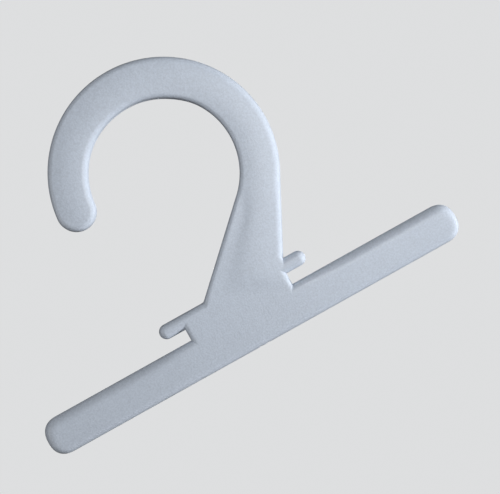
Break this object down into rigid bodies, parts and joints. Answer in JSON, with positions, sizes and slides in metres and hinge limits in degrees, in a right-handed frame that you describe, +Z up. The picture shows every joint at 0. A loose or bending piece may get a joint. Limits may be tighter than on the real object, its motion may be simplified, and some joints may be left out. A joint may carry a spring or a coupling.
{
  "type": "scarf hanger",
  "caption": "Small flat plastic hanger with an open round hook, a neck that widens downwards, a straight round-ended crossbar and short pegs above it.",
  "frame": {"origin": "centre of the hook's inner circle, at mid-thickness: the axis of a rail that fills the hook", "axes": "+X along the crossbar, away from the hook's tip; +Z up from the crossbar through the hook; +Y through the thickness to the back, so the pictured front faces -Y"},
  "size_m": [0.15, 0.0062, 0.1011],
  "materials": {
    "moulding": "satin"
  },
  "bodies": {
    "root": {"hook": "moulding", "neck": "moulding", "crossbar": "moulding", "left_peg": "moulding", "right_peg": "moulding"}
  },
  "joints": []
}
